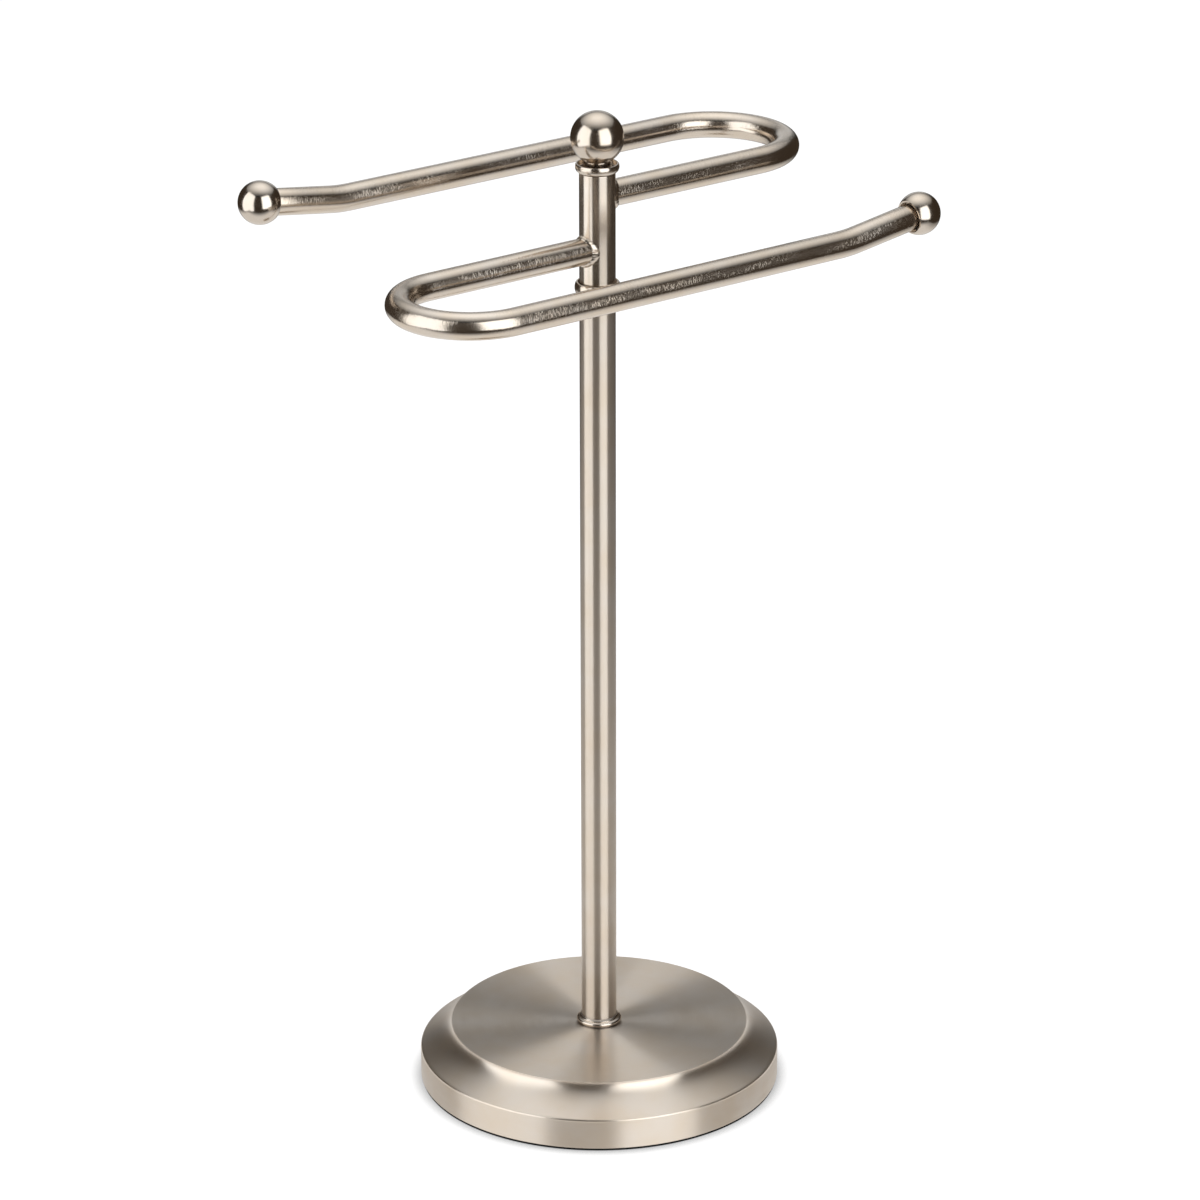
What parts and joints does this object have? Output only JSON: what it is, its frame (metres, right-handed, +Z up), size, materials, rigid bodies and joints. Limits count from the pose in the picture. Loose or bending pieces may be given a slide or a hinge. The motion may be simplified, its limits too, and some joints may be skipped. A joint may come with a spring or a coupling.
{
  "type": "counter-top hand towel stand",
  "caption": "Counter-top towel stand: weighted round base, slim post and a screw-on head carrying opposed U-shaped hook arms with ball ends, topped by a ball finial.",
  "frame": {"origin": "on the post's axis, in the plane the base pad rests on", "axes": "+Z up along the post; +X along the arms, towards the side the upper arm's stub leaves the head; +Y towards the upper arm's long rail"},
  "size_m": [0.2256, 0.131, 0.3653],
  "materials": {
    "satin_nickel": "satin brushed nickel plate, warm grey, spun grain on turned faces and fine cross lines on the tubes",
    "polished_nickel": "semi-polished nickel plate on the balls and braze beads, sharper reflections than the tubes",
    "base_pad": "black non-slip foam rubber, matt",
    "cast_iron": "rough cast iron, dark grey",
    "zinc_steel": "bright zinc plate on the fasteners",
    "brass_insert": "plain turned brass"
  },
  "bodies": {
    "stand": {"base_pad": "base_pad", "base_cover": "satin_nickel", "base_weight": "cast_iron", "base_flat_washer": "zinc_steel", "base_lock_washer": "zinc_steel", "base_bolt": "zinc_steel", "foot_collar": "satin_nickel", "post_tube": "satin_nickel", "post_foot_insert": "brass_insert", "post_top_insert": "brass_insert", "coupling_stud": "zinc_steel"},
    "collar": {"mid_collar": "satin_nickel"},
    "head": {"head_tube": "satin_nickel", "head_foot_insert": "brass_insert", "head_top_insert": "brass_insert", "top_collar": "satin_nickel", "finial_ball": "polished_nickel", "finial_stud": "zinc_steel", "upper_arm": "satin_nickel", "upper_arm_braze": "polished_nickel", "upper_arm_insert": "brass_insert", "upper_ball_screw": "zinc_steel", "upper_end_ball": "polished_nickel", "lower_arm": "satin_nickel", "lower_arm_braze": "polished_nickel", "lower_arm_insert": "brass_insert", "lower_ball_screw": "zinc_steel", "lower_end_ball": "polished_nickel"}
  },
  "joints": [
    {"name": "head_turn", "type": "hinge", "parent": "stand", "child": "collar", "pos_m": [0, 0, 0.2996], "axis": [0, 0, 1], "range_deg": [0, 2700]},
    {"name": "head_lift", "type": "slide", "parent": "collar", "child": "head", "axis": [0, 0, 1], "range_m": [0, 0.0075]}
  ],
  "couplings": [
    {"joint": "head_lift", "follows": "head_turn", "m_per_rad": 0.00015915}
  ]
}
